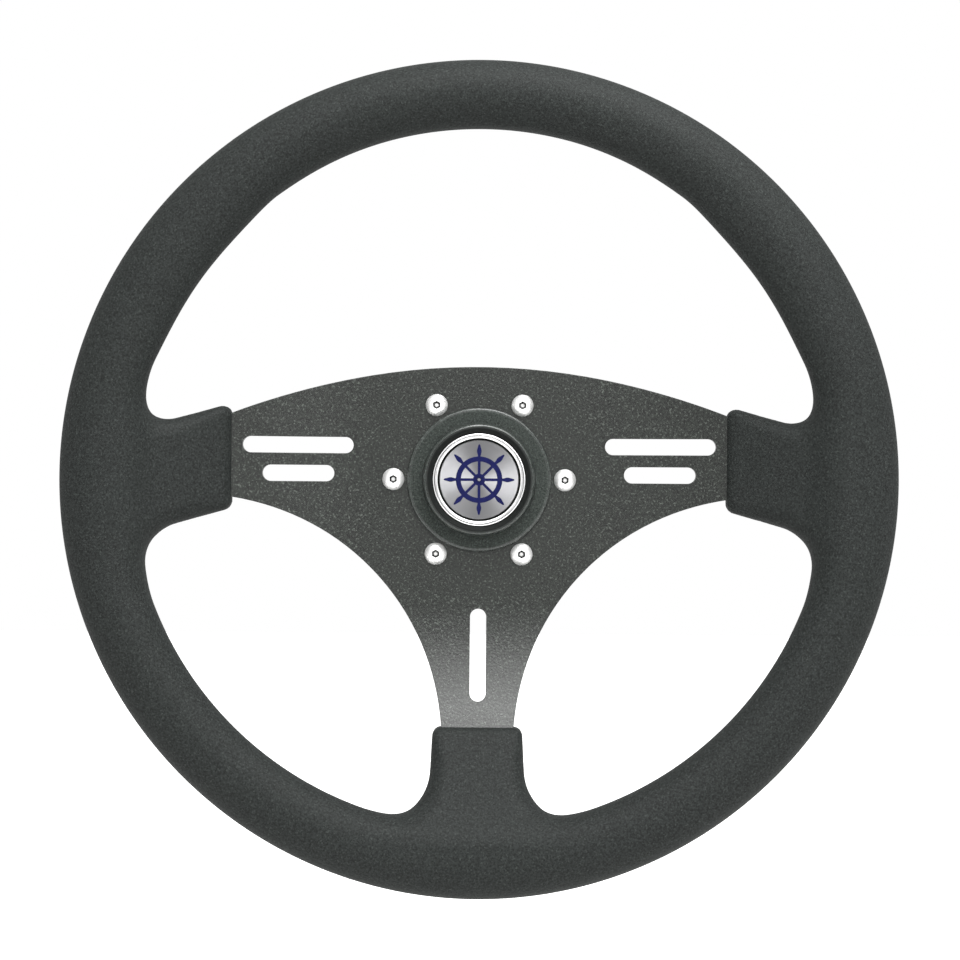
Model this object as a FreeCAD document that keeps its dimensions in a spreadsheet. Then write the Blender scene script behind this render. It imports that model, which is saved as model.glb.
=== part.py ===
import FreeCAD, Part
import Sketcher
import math
import os
import re
from FreeCAD import Placement, Rotation, Vector

# Three-spoke boat steering wheel: a soft moulded rim over a steel ring, a dished aluminium
# spoke plate, a cast hub with a tapered bore, and a push-in centre cap.
# The origin is the centre of the hub's rear face, on the shaft's axis. +Y runs back along
# the shaft, so the driver looks along +Y, with +X to the right and +Z up.

doc = FreeCAD.newDocument("steering_wheel")

# Driving dimensions, in millimetres and degrees
SIZES = {
    # rim
    "rim_diameter": 350.0,
    "rim_width": 29.7,
    "rim_depth": 26.0,
    "crown_relief": 1.0,
    "crown_half_angle": 36.0,
    "thumb_swell": 2.3,
    "thumb_angle": 34.5,
    "thumb_half_angle": 20.0,
    "ring_rod": 10.0,
    # spoke plate
    "plate_thick": 4.0,
    "plate_crown": 48.6,
    "plate_top_radius": 276.4,
    "web_radius": 108.0,
    "web_across": 123.0,
    "web_down": 114.5,
    "flat_reach": 46.0,
    "dish_bend": 120.0,
    "dish_angle": 25.0,
    "centre_hole_gap": 0.6,
    "tongue_inset": 4.7,
    "tongue_width": 24.0,
    "tongue_rod_gap": 2.6,
    "slot_width": 7.0,
    "slot_centre": 77.6,
    "slot_upper_length": 46.8,
    "slot_upper_height": 14.5,
    "slot_lower_length": 30.4,
    "slot_lower_height": 2.35,
    "slot_bottom_length": 39.5,
    "slot_bottom_centre": 75.4,
    # lugs, the moulded sleeves round the spoke ends
    "lug_length": 40.0,
    "lug_round": 3.0,
    "lug_thick": 12.5,
    "lug_root_thick": 20.8,
    "lug_square_ratio": 0.86,
    "lug_root_square_ratio": 0.66,
    "lug_root_reach": 8.0,
    "flare_end_angle": 70.0,
    "flare_rise": 6.0,
    "past_flare": 1.2,
    "far_past_flare": 4.0,
    "side_lug_top": 31.8,
    "side_lug_foot": 12.8,
    "side_lug_angle": 16.4,
    "side_flare": 10.5,
    "side_flare_back": 5.7,
    "low_lug_half": 19.0,
    "low_lug_angle": 3.0,
    "low_flare": 17.5,
    "low_flare_back": 4.5,
    # spoke tabs and rivets
    "tab_inset": 13.7,
    "tab_width": 20.0,
    "tab_thick": 3.0,
    "rivet_diameter": 5.0,
    "rivet_gap": 0.1,
    "rivet_head": 9.0,
    "rivet_head_high": 1.9,
    "rivet_tail_high": 1.5,
    "rivet_inset": 20.7,
    "rivet_pitch": 14.0,
    # hub
    "hub_length": 42.0,
    "hub_boss": 46.0,
    "hub_boss_root": 53.0,
    "hub_flange": 86.0,
    "hub_flange_thick": 10.0,
    "hub_fillet": 5.0,
    "hub_edge": 1.0,
    "taper_mouth": 19.05,
    "taper_length": 24.0,
    "taper_ratio": 12.0,
    "key_width": 4.76,
    "key_depth": 2.4,
    "nut_recess": 36.0,
    # screws
    "bolt_circle": 74.0,
    "screw_diameter": 5.0,
    "screw_length": 12.0,
    "screw_point": 0.6,
    "screw_head": 9.5,
    "screw_head_high": 2.75,
    "screw_hex": 3.0,
    "screw_hex_deep": 1.5,
    "screw_hole": 5.5,
    "thread_gap": 0.05,
    # centre cap
    "cap_flange": 62.0,
    "cap_lip": 2.0,
    "cap_shoulder": 49.0,
    "cap_shoulder_high": 2.6,
    "cap_crest": 45.6,
    "cap_high": 9.2,
    "cap_round": 1.0,
    "cap_wall": 2.4,
    "cap_core_width": 2.4,
    "cap_core_deep": 4.4,
    "spigot_gap": 0.5,
    "spigot_length": 12.0,
    "spigot_wall": 3.3,
    "spigot_lead": 0.8,
    "seal_section": 1.8,
    "seal_gap": 0.1,
    "seal_inset": 4.0,
    "groove_gap": 0.05,
    # emblem
    "emblem_sink": 3.2,
    "emblem_mouth": 1.8,
    "bezel_diameter": 39.5,
    "bezel_width": 1.9,
    "bezel_high": 2.3,
    "bezel_round": 0.85,
    "bezel_gap": 0.4,
    "disc_gap": 0.9,
    "disc_thick": 1.2,
    "disc_edge": 0.2,
}

sheet = doc.addObject("Spreadsheet::Sheet", "sizes")
for row, (alias, number) in enumerate(SIZES.items(), start=1):
    sheet.set(f"A{row}", alias)
    sheet.set(f"B{row}", str(number))
    sheet.setAlias(f"B{row}", alias)
doc.recompute()


def bound(text):
    """A formula with each driving dimension read from the sheet."""
    return re.sub(r"[a-z_]+", lambda word: "sizes." + word[0] if word[0] in SIZES else word[0], text)


def worth(text):
    """The value of a formula of driving dimensions."""
    result = sheet.evalExpression(bound(text))
    return float(getattr(result, "Value", result))


# Formulas that several pieces share. Places along Y are minus in front of the hub's rear face.
PLATE_BACK = "(-hub_length)"
PLATE_MID = "(-hub_length - plate_thick / 2)"
PLATE_FRONT = "(-hub_length - plate_thick)"
BEND_CENTRE = f"({PLATE_MID} - dish_bend)"
BEND_END = "(flat_reach + dish_bend * sin(dish_angle))"
BEND_END_MID = f"({BEND_CENTRE} + dish_bend * cos(dish_angle))"
RIM_INSIDE = "(rim_diameter / 2 - rim_width)"
RING_RADIUS = "(rim_diameter / 2 - rim_width / 2)"
# The tabs lie on the back of the plate and point at the middle of the ring
RING_MID = f"({BEND_END_MID} - ({RING_RADIUS} - {BEND_END}) * tan(dish_angle))"
RIM_PLANE = f"({RING_MID} + (plate_thick + tab_thick) / 2 / cos(dish_angle))"
LUG_START = f"({RIM_INSIDE} - lug_length)"
TONGUE_START = f"({LUG_START} + tongue_inset)"
TONGUE_END = f"({RING_RADIUS} - ring_rod / 2 - tongue_rod_gap)"
SIDE_LUG_MID = "((side_lug_top - side_lug_foot) / 2)"
BOLT_RADIUS = "(bolt_circle / 2)"
RECESS_RADIUS = "(nut_recess / 2)"
SPIGOT_RADIUS = f"({RECESS_RADIUS} - spigot_gap)"
SPIGOT_BORE = f"({SPIGOT_RADIUS} - spigot_wall)"
SEAL_RADIUS = f"({RECESS_RADIUS} - seal_gap - seal_section / 2)"
SEAL_PLACE = "(-hub_length + seal_inset)"
CAP_FRONT = f"({PLATE_FRONT} - cap_high)"
EMBLEM_FLOOR = f"({CAP_FRONT} + emblem_sink)"
BEZEL_BORE = "(bezel_diameter / 2 - bezel_width)"


def origin_of(body, role):
    """One of a body's own origin planes or axes."""
    return [feature for feature in body.Origin.OriginFeatures if feature.Role == role][0]


def new_body(label):
    body = doc.addObject("PartDesign::Body", label)
    body.Label = label
    body.AllowCompound = True
    return body


def new_sketch(body, name, role, lift="0"):
    """A sketch on one of the body's origin planes, lifted along that plane's normal."""
    sketch = body.newObject("Sketcher::SketchObject", name)
    sketch.AttachmentSupport = (origin_of(body, role), [""])
    sketch.MapMode = "FlatFace"
    sketch.setExpression("AttachmentOffset.Base.z", bound(lift))
    return sketch


def pin_point(sketch, edge, end, across, up):
    """Bind one end of an edge to its two coordinates."""
    for kind, axis, text in (("DistanceX", -2, across), ("DistanceY", -1, up)):
        if text == "0":
            sketch.addConstraint(Sketcher.Constraint("PointOnObject", edge, end, axis))
        else:
            number = sketch.addConstraint(Sketcher.Constraint(kind, -1, 1, edge, end, worth(text)))
            sketch.setExpression(f"Constraints[{number}]", bound(text))


def bind_radius(sketch, edge, radius):
    number = sketch.addConstraint(Sketcher.Constraint("Radius", edge, worth(radius)))
    sketch.setExpression(f"Constraints[{number}]", bound(radius))


def draw_outline(sketch, corners):
    """A closed outline. A straight edge leaves a corner of two formulas, (across, up). An arc
    leaves a corner of four, (across, up, radius, side), its centre left (1) or right (-1)."""
    ends = []
    for index, corner in enumerate(corners):
        after = corners[(index + 1) % len(corners)]
        here = Vector(worth(corner[0]), worth(corner[1]), 0)
        there = Vector(worth(after[0]), worth(after[1]), 0)
        if len(corner) == 2:
            ends.append((sketch.addGeometry(Part.LineSegment(here, there)), 1, 2))
            continue
        radius = worth(corner[2])
        chord = there - here
        rise = math.sqrt(radius ** 2 - (chord.Length / 2) ** 2)
        aside = Vector(-chord.y, chord.x, 0).normalize() * rise * corner[3]
        centre = (here + there) * 0.5 + aside
        turns = [math.atan2(point.y - centre.y, point.x - centre.x) for point in (here, there)]
        circle = Part.Circle(centre, Vector(0, 0, 1), radius)
        if corner[3] > 0:
            ends.append((sketch.addGeometry(Part.ArcOfCircle(circle, turns[0], turns[1])), 1, 2))
        else:
            ends.append((sketch.addGeometry(Part.ArcOfCircle(circle, turns[1], turns[0])), 2, 1))
        bind_radius(sketch, ends[-1][0], corner[2])
    for index, corner in enumerate(corners):
        edge, start, _ = ends[index]
        before, _, finish = ends[index - 1]
        sketch.addConstraint(Sketcher.Constraint("Coincident", before, finish, edge, start))
        pin_point(sketch, edge, start, corner[0], corner[1])


def draw_circle(sketch, across, up, radius):
    circle = Part.Circle(Vector(worth(across), worth(up), 0), Vector(0, 0, 1), worth(radius))
    edge = sketch.addGeometry(circle)
    bind_radius(sketch, edge, radius)
    pin_point(sketch, edge, 3, across, up)


def draw_slot(sketch, across, up, length, upright=False):
    """A slot with round ends, along the sketch's first axis or standing upright."""
    half = f"({length} / 2 - slot_width / 2)"
    if upright:
        centres = [(across, f"{up} + {half}"), (across, f"{up} - {half}")]
        facing = Vector(1, 0, 0)
    else:
        centres = [(f"{across} - {half}", up), (f"{across} + {half}", up)]
        facing = Vector(0, 1, 0)
    radius = worth("slot_width / 2")
    begin = math.atan2(facing.y, facing.x)
    places = [Vector(worth(centre[0]), worth(centre[1]), 0) for centre in centres]
    arcs = []
    for index, place in enumerate(places):
        circle = Part.Circle(place, Vector(0, 0, 1), radius)
        turn = begin + index * math.pi
        arcs.append(sketch.addGeometry(Part.ArcOfCircle(circle, turn, turn + math.pi)))
    aside = facing * radius
    sides = [sketch.addGeometry(Part.LineSegment(places[1] + aside, places[0] + aside)),
             sketch.addGeometry(Part.LineSegment(places[0] - aside, places[1] - aside))]
    for index in range(2):
        sketch.addConstraint(Sketcher.Constraint("Tangent", sides[index], 2, arcs[index], 1))
        sketch.addConstraint(Sketcher.Constraint("Tangent", arcs[1 - index], 2, sides[index], 1))
    sketch.addConstraint(Sketcher.Constraint("Equal", arcs[0], arcs[1]))
    bind_radius(sketch, arcs[0], "slot_width / 2")
    for arc, centre in zip(arcs, centres):
        pin_point(sketch, arc, 3, centre[0], centre[1])


def add_pad(body, name, sketch, length):
    pad = body.newObject("PartDesign::Pad", name)
    pad.Profile = sketch
    pad.setExpression("Length", bound(length))
    return pad


def add_pocket(body, name, sketch, length=None, forwards=True):
    """A cut along the sketch's normal, or against it; with no length it goes through all."""
    pocket = body.newObject("PartDesign::Pocket", name)
    pocket.Profile = sketch
    pocket.Reversed = forwards
    if length is None:
        pocket.Type = "ThroughAll"
    else:
        pocket.setExpression("Length", bound(length))
    return pocket


def add_revolution(body, name, sketch, axis="V_Axis"):
    turned = body.newObject("PartDesign::Revolution", name)
    turned.Profile = sketch
    turned.ReferenceAxis = (sketch, [axis])
    turned.Angle = 360
    return turned


def add_ring_of_six(body, name, features):
    """Copies of features at the six screws, evenly spaced round the wheel's axis."""
    pattern = body.newObject("PartDesign::PolarPattern", name)
    pattern.Originals = features
    pattern.Axis = (origin_of(body, "Y_Axis"), [""])
    pattern.Angle = 360
    pattern.Occurrences = 6
    body.Tip = pattern
    return pattern


def add_torus(label, major, minor, place):
    """A ring of round section about the wheel's axis."""
    torus = doc.addObject("Part::Torus", label)
    torus.Label = label
    torus.setExpression("Radius1", bound(major))
    torus.setExpression("Radius2", bound(minor))
    torus.Placement = Placement(Vector(0, worth(place), 0), Rotation(Vector(1, 0, 0), 90))
    torus.setExpression("Placement.Base.y", bound(place))
    return torus


def add_shape(label, shape):
    piece = doc.addObject("Part::Feature", label)
    piece.Label = label
    piece.Shape = shape
    piece.Placement = Placement()
    return piece


# Rim ring: a steel rod rolled to a circle, the rim's skeleton
rim_ring = add_torus("rim_ring", RING_RADIUS, "ring_rod / 2", RIM_PLANE)

# Pressed plate: one aluminium sheet, flat round the hub, its three spokes bent forwards. Its
# section runs from the sheet's flat middle to its ends, with a back and a front face.
SHEET_END = f"({TONGUE_END} + plate_thick)"
BACK_BEND = "(dish_bend + plate_thick / 2)"
FRONT_BEND = "(dish_bend - plate_thick / 2)"
BACK_REACH = f"(flat_reach + {BACK_BEND} * sin(dish_angle))"
BACK_Y = f"({BEND_CENTRE} + {BACK_BEND} * cos(dish_angle))"
BACK_TIP_Y = f"({BACK_Y} - ({SHEET_END} - {BACK_REACH}) * tan(dish_angle))"
FRONT_REACH = f"(flat_reach + {FRONT_BEND} * sin(dish_angle))"
FRONT_Y = f"({BEND_CENTRE} + {FRONT_BEND} * cos(dish_angle))"
FRONT_TIP_Y = f"({FRONT_Y} - ({SHEET_END} - {FRONT_REACH}) * tan(dish_angle))"

pressed_plate = new_body("pressed_plate")
side_section = new_sketch(pressed_plate, "side_section", "XY_Plane", "-flat_reach")
draw_outline(side_section, [
    (SHEET_END, FRONT_TIP_Y),
    (SHEET_END, BACK_TIP_Y),
    (BACK_REACH, BACK_Y, BACK_BEND, 1),
    ("flat_reach", PLATE_BACK),
    ("-flat_reach", PLATE_BACK, BACK_BEND, 1),
    ("-" + BACK_REACH, BACK_Y),
    ("-" + SHEET_END, BACK_TIP_Y),
    ("-" + SHEET_END, FRONT_TIP_Y),
    ("-" + FRONT_REACH, FRONT_Y, FRONT_BEND, -1),
    ("-flat_reach", PLATE_FRONT),
    ("flat_reach", PLATE_FRONT, FRONT_BEND, -1),
    (FRONT_REACH, FRONT_Y),
])
add_pad(pressed_plate, "side_spokes", side_section, "flat_reach + plate_crown + plate_thick")

low_section = new_sketch(pressed_plate, "low_section", "YZ_Plane", "-flat_reach")
draw_outline(low_section, [
    (PLATE_BACK, "-flat_reach", BACK_BEND, -1),
    (BACK_Y, "-" + BACK_REACH),
    (BACK_TIP_Y, "-" + SHEET_END),
    (FRONT_TIP_Y, "-" + SHEET_END),
    (FRONT_Y, "-" + FRONT_REACH, FRONT_BEND, 1),
    (PLATE_FRONT, "-flat_reach"),
])
add_pad(pressed_plate, "low_spoke", low_section, "2 * flat_reach")

# The blank's outline, with a narrower tongue at the end of each spoke
TOP_AT_TONGUE = f"(plate_crown - plate_top_radius + sqrt(plate_top_radius ^ 2 - {TONGUE_START} ^ 2))"
WEB_AT_TONGUE = f"(-web_down + sqrt(web_radius ^ 2 - (web_across - {TONGUE_START}) ^ 2))"
LOW_HALF = f"(web_across - sqrt(web_radius ^ 2 - (web_down - {TONGUE_START}) ^ 2))"
TONGUE_TOP = f"({SIDE_LUG_MID} + tongue_width / 2)"
TONGUE_FOOT = f"({SIDE_LUG_MID} - tongue_width / 2)"
FRAME = "(rim_diameter / 2)"

blank = new_sketch(pressed_plate, "blank_outline", "XZ_Plane")
draw_outline(blank, [(FRAME, "-" + FRAME), (FRAME, FRAME), ("-" + FRAME, FRAME),
                     ("-" + FRAME, "-" + FRAME)])
draw_outline(blank, [
    (TONGUE_START, TOP_AT_TONGUE, "plate_top_radius", 1),
    ("-" + TONGUE_START, TOP_AT_TONGUE),
    ("-" + TONGUE_START, TONGUE_TOP),
    ("-" + TONGUE_END, TONGUE_TOP),
    ("-" + TONGUE_END, TONGUE_FOOT),
    ("-" + TONGUE_START, TONGUE_FOOT),
    ("-" + TONGUE_START, WEB_AT_TONGUE, "web_radius", -1),
    ("-" + LOW_HALF, "-" + TONGUE_START),
    ("-tongue_width / 2", "-" + TONGUE_START),
    ("-tongue_width / 2", "-" + TONGUE_END),
    ("tongue_width / 2", "-" + TONGUE_END),
    ("tongue_width / 2", "-" + TONGUE_START),
    (LOW_HALF, "-" + TONGUE_START, "web_radius", -1),
    (TONGUE_START, WEB_AT_TONGUE),
    (TONGUE_START, TONGUE_FOOT),
    (TONGUE_END, TONGUE_FOOT),
    (TONGUE_END, TONGUE_TOP),
    (TONGUE_START, TONGUE_TOP),
])
add_pocket(pressed_plate, "trimmed_blank", blank)

openings = new_sketch(pressed_plate, "openings", "XZ_Plane")
for side in ("", "-"):
    draw_slot(openings, side + "slot_centre", "slot_upper_height", "slot_upper_length")
    draw_slot(openings, side + "slot_centre", "slot_lower_height", "slot_lower_length")
draw_slot(openings, "0", "-slot_bottom_centre", "slot_bottom_length", upright=True)
draw_circle(openings, "0", "0", f"{RECESS_RADIUS} + centre_hole_gap")
add_pocket(pressed_plate, "cut_openings", openings)

plate_hole = new_sketch(pressed_plate, "screw_hole", "XZ_Plane")
draw_circle(plate_hole, BOLT_RADIUS, "0", "screw_hole / 2")
first_hole = add_pocket(pressed_plate, "first_screw_hole", plate_hole)
doc.recompute()
add_ring_of_six(pressed_plate, "screw_holes", [first_hole])

# Hub: a casting with a keyed taper for the shaft, a well for the shaft's nut, and a flange
# that the spoke plate is screwed to
FLANGE_BACK = "(-hub_length + hub_flange_thick)"
hub = new_body("hub")
hub_section = new_sketch(hub, "hub_section", "XY_Plane")
draw_outline(hub_section, [
    ("taper_mouth / 2", "0"),
    ("hub_boss / 2 - hub_edge", "0"),
    ("hub_boss / 2", "-hub_edge"),
    ("hub_boss_root / 2", f"{FLANGE_BACK} + hub_fillet", "hub_fillet", 1),
    ("hub_boss_root / 2 + hub_fillet", FLANGE_BACK),
    ("hub_flange / 2 - hub_edge", FLANGE_BACK),
    ("hub_flange / 2", f"{FLANGE_BACK} - hub_edge"),
    ("hub_flange / 2", "-hub_length"),
    (RECESS_RADIUS, "-hub_length"),
    (RECESS_RADIUS, "-taper_length"),
    ("(taper_mouth - taper_length / taper_ratio) / 2", "-taper_length"),
])
add_revolution(hub, "casting", hub_section)

keyway = new_sketch(hub, "keyway", "XZ_Plane")
draw_outline(keyway, [
    ("key_width / 2", "0"),
    ("key_width / 2", "taper_mouth / 2 + key_depth"),
    ("-key_width / 2", "taper_mouth / 2 + key_depth"),
    ("-key_width / 2", "0"),
])
add_pocket(hub, "cut_keyway", keyway, "taper_length")

tapped_hole = new_sketch(hub, "tapped_hole", "XZ_Plane")
draw_circle(tapped_hole, BOLT_RADIUS, "0", "screw_diameter / 2 + thread_gap")
first_tapped = add_pocket(hub, "first_tapped_hole", tapped_hole)
doc.recompute()
add_ring_of_six(hub, "tapped_holes", [first_tapped])

# Hub screws: six button heads with hexagon sockets
HEAD_TOP = f"({PLATE_FRONT} - screw_head_high)"
SCREW_END = f"({PLATE_FRONT} + screw_length)"
hub_screws = new_body("hub_screws")
screw_section = new_sketch(hub_screws, "screw_section", "XY_Plane")
draw_outline(screw_section, [
    (BOLT_RADIUS, SCREW_END),
    (BOLT_RADIUS, HEAD_TOP),
    (f"{BOLT_RADIUS} + screw_head / 4", HEAD_TOP, "screw_head / 2", 1),
    (f"{BOLT_RADIUS} + screw_head / 2", f"{PLATE_FRONT} - screw_head_high / 5"),
    (f"{BOLT_RADIUS} + screw_head / 2", PLATE_FRONT),
    (f"{BOLT_RADIUS} + screw_diameter / 2", PLATE_FRONT),
    (f"{BOLT_RADIUS} + screw_diameter / 2", f"{SCREW_END} - screw_point"),
    (f"{BOLT_RADIUS} + screw_diameter / 2 - screw_point", SCREW_END),
])
screw_axis = screw_section.addGeometry(Part.LineSegment(
    Vector(worth(BOLT_RADIUS), worth(SCREW_END), 0),
    Vector(worth(BOLT_RADIUS), worth(HEAD_TOP), 0)), True)
pin_point(screw_section, screw_axis, 1, BOLT_RADIUS, SCREW_END)
pin_point(screw_section, screw_axis, 2, BOLT_RADIUS, HEAD_TOP)
first_screw = add_revolution(hub_screws, "first_screw", screw_section, "Axis0")

socket_outline = new_sketch(hub_screws, "socket_outline", "XZ_Plane", "-" + HEAD_TOP)
draw_outline(socket_outline, [
    (f"{BOLT_RADIUS} + screw_hex / sqrt(3) * cos({60 * corner + 30})",
     f"screw_hex / sqrt(3) * sin({60 * corner + 30})")
    for corner in range(6)
])
first_socket = add_pocket(hub_screws, "first_socket", socket_outline, "screw_hex_deep", forwards=False)
doc.recompute()
add_ring_of_six(hub_screws, "six_screws", [first_screw, first_socket])

# Centre cap: a black moulding with a flange on the plate, a raised crest round the emblem and
# a spigot that pushes into the hub's well
LIP_TOP = f"({PLATE_FRONT} - cap_lip)"
SHOULDER_Y = f"({PLATE_FRONT} - cap_shoulder_high)"
CORE_OUTSIDE = "(cap_shoulder / 2 - cap_wall)"
GROOVE_FRONT = f"({SEAL_PLACE} - seal_section / 2 - groove_gap)"
GROOVE_BACK = f"({SEAL_PLACE} + seal_section / 2 + groove_gap)"
GROOVE_FLOOR = f"({SEAL_RADIUS} - seal_section / 2 - groove_gap)"
SPIGOT_END = f"({PLATE_FRONT} + spigot_length)"
POCKET_RADIUS = "(bezel_diameter / 2 + bezel_gap)"
centre_cap = new_body("centre_cap")
cap_section = new_sketch(centre_cap, "cap_section", "XY_Plane")
draw_outline(cap_section, [
    ("0", EMBLEM_FLOOR),
    (POCKET_RADIUS, EMBLEM_FLOOR),
    (POCKET_RADIUS, f"{EMBLEM_FLOOR} - emblem_mouth"),
    ("cap_crest / 2 - cap_round", CAP_FRONT),
    ("cap_crest / 2", CAP_FRONT, "cap_round", 1),
    ("cap_crest / 2 + cap_round", f"{CAP_FRONT} + cap_round"),
    ("cap_shoulder / 2", SHOULDER_Y),
    ("cap_flange / 2 - cap_round", LIP_TOP, "cap_round", 1),
    ("cap_flange / 2", f"{LIP_TOP} + cap_round"),
    ("cap_flange / 2", PLATE_FRONT),
    (CORE_OUTSIDE, PLATE_FRONT),
    (CORE_OUTSIDE, f"{PLATE_FRONT} - cap_core_deep"),
    (f"{CORE_OUTSIDE} - cap_core_width", f"{PLATE_FRONT} - cap_core_deep"),
    (f"{CORE_OUTSIDE} - cap_core_width", PLATE_FRONT),
    (SPIGOT_RADIUS, PLATE_FRONT),
    (SPIGOT_RADIUS, GROOVE_FRONT),
    (GROOVE_FLOOR, GROOVE_FRONT),
    (GROOVE_FLOOR, GROOVE_BACK),
    (SPIGOT_RADIUS, GROOVE_BACK),
    (SPIGOT_RADIUS, f"{SPIGOT_END} - spigot_lead"),
    (f"{SPIGOT_RADIUS} - spigot_lead", SPIGOT_END),
    (SPIGOT_BORE, SPIGOT_END),
    (SPIGOT_BORE, f"{EMBLEM_FLOOR} + cap_wall"),
    ("0", f"{EMBLEM_FLOOR} + cap_wall"),
])
add_revolution(centre_cap, "cap_moulding", cap_section)

# Cap seal: a rubber ring in the spigot's groove, which holds the cap in the hub's well
cap_o_ring = add_torus("cap_o_ring", SEAL_RADIUS, "seal_section / 2", SEAL_PLACE)

# Emblem bezel: a plated ring with a rolled front edge, in the cap's pocket
BEZEL_TOP = f"({EMBLEM_FLOOR} - bezel_high)"
emblem_bezel = new_body("emblem_bezel")
bezel_section = new_sketch(emblem_bezel, "bezel_section", "XY_Plane")
draw_outline(bezel_section, [
    (BEZEL_BORE, EMBLEM_FLOOR),
    (BEZEL_BORE, f"{BEZEL_TOP} + bezel_round", "bezel_round", -1),
    (f"{BEZEL_BORE} + bezel_round", BEZEL_TOP),
    ("bezel_diameter / 2 - bezel_round", BEZEL_TOP, "bezel_round", -1),
    ("bezel_diameter / 2", f"{BEZEL_TOP} + bezel_round"),
    ("bezel_diameter / 2", EMBLEM_FLOOR),
])
add_revolution(emblem_bezel, "bezel_ring", bezel_section)

# Emblem disc: spun aluminium, bonded to the floor of the pocket inside the bezel
DISC_RADIUS = f"({BEZEL_BORE} - disc_gap)"
DISC_TOP = f"({EMBLEM_FLOOR} - disc_thick)"
emblem_disc = new_body("emblem_disc")
disc_section = new_sketch(emblem_disc, "disc_section", "XY_Plane")
draw_outline(disc_section, [
    ("0", EMBLEM_FLOOR),
    (DISC_RADIUS, EMBLEM_FLOOR),
    (DISC_RADIUS, f"{DISC_TOP} + disc_edge"),
    (f"{DISC_RADIUS} - disc_edge", DISC_TOP),
    ("0", DISC_TOP),
])
add_revolution(emblem_disc, "spun_disc", disc_section)
doc.recompute()

# The three spokes: the way out, the way across, and how far across the tongue lies
SPOKES = {
    "left": (Vector(-1, 0, 0), Vector(0, 0, 1), worth(SIDE_LUG_MID)),
    "right": (Vector(1, 0, 0), Vector(0, 0, 1), worth(SIDE_LUG_MID)),
    "lower": (Vector(0, 0, -1), Vector(1, 0, 0), 0.0),
}
BACKWARDS = Vector(0, 1, 0)
slope = math.radians(worth("dish_angle"))
rim_radius = worth("rim_diameter / 2")
ring_radius = worth(RING_RADIUS)
rim_plane = worth(RIM_PLANE)
half_sheet = worth("plate_thick / 2")


def sheet_middle(reach):
    """The place along Y of the middle of the sloping sheet."""
    return worth(BEND_END_MID) - (reach - worth(BEND_END)) * math.tan(slope)


def on_spoke(side, reach):
    """The placement of a piece drawn about a spoke's middle: its X runs out along the slope,
    its Z runs back, square to the sheet, and its origin is in the middle of the sheet."""
    out, across, offset = SPOKES[side]
    along = out * math.cos(slope) - BACKWARDS * math.sin(slope)
    square = out * math.sin(slope) + BACKWARDS * math.cos(slope)
    middle = out * reach + across * offset + BACKWARDS * sheet_middle(reach)
    return Placement(middle, Rotation(along, square.cross(along), square, "ZXY"))


# Spoke rivets: two through each tongue and its tab, with a domed head in front and a tail
# that is upset to a cone behind
rivet_radius = worth("rivet_diameter / 2")
head_radius = worth("rivet_head / 2")
tab_thick = worth("tab_thick")
tab_back = half_sheet + tab_thick
tail_end = tab_back + worth("rivet_tail_high")
tail_radius = head_radius - worth("rivet_tail_high")
dome_top = -half_sheet - worth("rivet_head_high")
dome_radius = (head_radius ** 2 + worth("rivet_head_high") ** 2) / 2 / worth("rivet_head_high")
dome_half = math.sqrt(dome_radius ** 2 - head_radius ** 2 / 4)
rivet_corners = [Vector(0, 0, tail_end), Vector(tail_radius, 0, tail_end), Vector(head_radius, 0, tab_back),
                 Vector(rivet_radius, 0, tab_back), Vector(rivet_radius, 0, -half_sheet),
                 Vector(head_radius, 0, -half_sheet)]
rivet_edges = [Part.LineSegment(here, there).toShape()
               for here, there in zip(rivet_corners, rivet_corners[1:])]
rivet_edges.append(Part.Arc(rivet_corners[-1],
                            Vector(head_radius / 2, 0, dome_top + dome_radius - dome_half),
                            Vector(0, 0, dome_top)).toShape())
rivet_edges.append(Part.LineSegment(Vector(0, 0, dome_top), rivet_corners[0]).toShape())
rivet = Part.Face(Part.Wire(rivet_edges)).revolve(Vector(0, 0, 0), Vector(0, 0, 1), 360)
rivet_hole = Part.makeCylinder(rivet_radius + worth("rivet_gap"), 2 * (tab_back + half_sheet),
                               Vector(0, 0, -tab_back - half_sheet))
first_rivet = worth(f"{LUG_START} + rivet_inset")
rivet_reaches = [first_rivet, first_rivet + worth("rivet_pitch * cos(dish_angle)")]
rivets = []
rivet_holes = []
for side in SPOKES:
    for reach in rivet_reaches:
        for drawn, placed in ((rivet, rivets), (rivet_hole, rivet_holes)):
            copy = drawn.copy()
            copy.Placement = on_spoke(side, reach)
            placed.append(copy)
spoke_rivets = add_shape("spoke_rivets", Part.makeCompound(rivets))

# Spoke plate: the pressed plate with its rivet holes
tongue_holes = add_shape("tongue_holes", Part.makeCompound(rivet_holes))
spoke_plate = doc.addObject("Part::Cut", "spoke_plate")
spoke_plate.Label = "spoke_plate"
spoke_plate.Base = pressed_plate
spoke_plate.Tool = tongue_holes
doc.recompute()

# Spoke tabs: steel strips that run up to the ring and are welded to it, one behind each tongue
tab_start = worth(f"{LUG_START} + tab_inset")
tab_reach = (ring_radius - tab_start) / math.cos(slope)
tab_width = worth("tab_width")
tabs = []
for side in SPOKES:
    strip = Part.makeBox(tab_reach, tab_width, tab_thick, Vector(0, -tab_width / 2, half_sheet))
    strip.Placement = on_spoke(side, tab_start)
    coped = strip.cut([rim_ring.Shape] + rivet_holes)
    tabs.append(add_shape(f"spoke_tab_{side}", coped.Solids[0]))


# Rim grip: soft moulded skin over the ring and the spoke ends. The rim is an oval swept round
# the wheel, wider where the thumbs rest and a little narrower at the crown.
def plateau(offset, spread):
    """A flat-topped swell, 1 in its middle and 0 at its spread."""
    share = min(abs(offset) / spread, 1)
    return (1 - share ** 4) ** 2


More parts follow.
